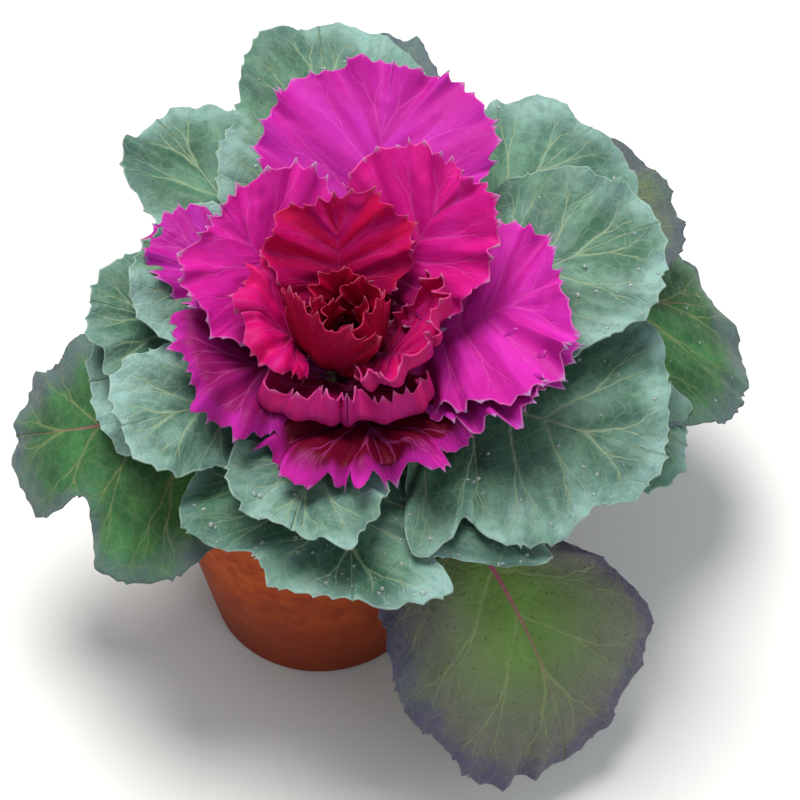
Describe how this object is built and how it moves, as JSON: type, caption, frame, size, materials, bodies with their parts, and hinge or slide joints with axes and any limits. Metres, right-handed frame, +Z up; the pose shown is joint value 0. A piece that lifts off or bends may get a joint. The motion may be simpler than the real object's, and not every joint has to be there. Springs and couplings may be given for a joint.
{
  "type": "potted ornamental cabbage",
  "caption": "Flowering cabbage with an open magenta heart and drooping green outer leaves, growing in a round terracotta pot with a collar.",
  "frame": {"origin": "centre of the pot's flat base, on the ground", "axes": "+Z up; the plant leans towards -Y, the front; +X is to the right of someone who looks at the front"},
  "size_m": [0.3071, 0.2994, 0.2193],
  "materials": {
    "terracotta": "matte",
    "potting_soil": "matte",
    "stem": "matte",
    "old_leaf": "satin",
    "green_leaf": "satin",
    "magenta_leaf": "satin",
    "heart_leaf": "satin"
  },
  "bodies": {
    "root": {"pot": "terracotta", "soil": "potting_soil", "stem": "stem", "heart_bud": "heart_leaf", "old_leaf_01": "old_leaf", "old_leaf_02": "old_leaf", "old_leaf_03": "old_leaf", "old_leaf_04": "old_leaf", "old_leaf_05": "old_leaf", "old_leaf_06": "old_leaf", "old_leaf_07": "old_leaf", "old_leaf_08": "old_leaf", "green_leaf_01": "green_leaf", "green_leaf_02": "green_leaf", "green_leaf_03": "green_leaf", "green_leaf_04": "green_leaf", "green_leaf_05": "green_leaf", "green_leaf_06": "green_leaf", "green_leaf_07": "green_leaf", "green_leaf_08": "green_leaf", "green_leaf_09": "green_leaf", "green_leaf_10": "green_leaf", "green_leaf_11": "green_leaf", "green_leaf_12": "green_leaf", "magenta_leaf_01": "magenta_leaf", "magenta_leaf_02": "magenta_leaf", "magenta_leaf_03": "magenta_leaf", "magenta_leaf_04": "magenta_leaf", "magenta_leaf_05": "magenta_leaf", "magenta_leaf_06": "magenta_leaf", "magenta_leaf_07": "magenta_leaf", "magenta_leaf_08": "magenta_leaf", "magenta_leaf_09": "magenta_leaf", "magenta_leaf_10": "magenta_leaf", "magenta_leaf_11": "magenta_leaf", "magenta_leaf_12": "magenta_leaf", "magenta_leaf_13": "magenta_leaf", "heart_leaf_01": "heart_leaf", "heart_leaf_02": "heart_leaf", "heart_leaf_03": "heart_leaf", "heart_leaf_04": "heart_leaf", "heart_leaf_05": "heart_leaf", "heart_leaf_06": "heart_leaf", "heart_leaf_07": "heart_leaf", "heart_leaf_08": "heart_leaf"}
  },
  "joints": []
}
